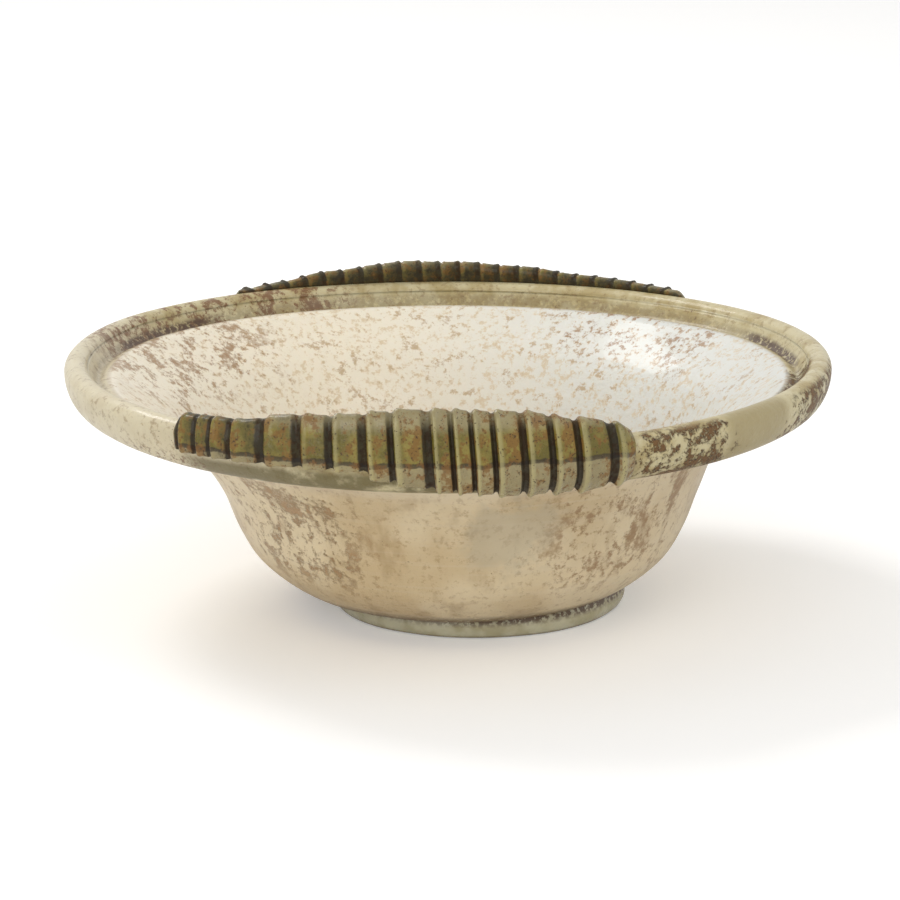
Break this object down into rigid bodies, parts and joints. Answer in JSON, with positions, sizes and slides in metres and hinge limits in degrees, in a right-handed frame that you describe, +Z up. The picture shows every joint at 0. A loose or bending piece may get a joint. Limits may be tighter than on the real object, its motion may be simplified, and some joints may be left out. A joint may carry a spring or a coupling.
{
  "type": "glass bowl",
  "caption": "Blown glass bowl with a wide folded hollow rim, crimped glass handles pressed on its collar, and a low coil foot; it holds food or small things.",
  "frame": {"origin": "on the surface the bowl stands on, under the centre of the rim", "axes": "+Z up, through the middle of the mouth; the handles lie at -Y (front) and +Y (back)"},
  "size_m": [0.1808, 0.1856, 0.0676],
  "materials": {
    "vessel_glass": "thin blown glass with a cream and brown weathering crust",
    "foot_glass": "pale greenish glass with soil in its joint",
    "handle_glass": "thick olive green glass with soil in its crimps"
  },
  "bodies": {
    "root": {"bowl": "vessel_glass", "foot_ring": "foot_glass", "front_handle": "handle_glass", "back_handle": "handle_glass"}
  },
  "joints": []
}
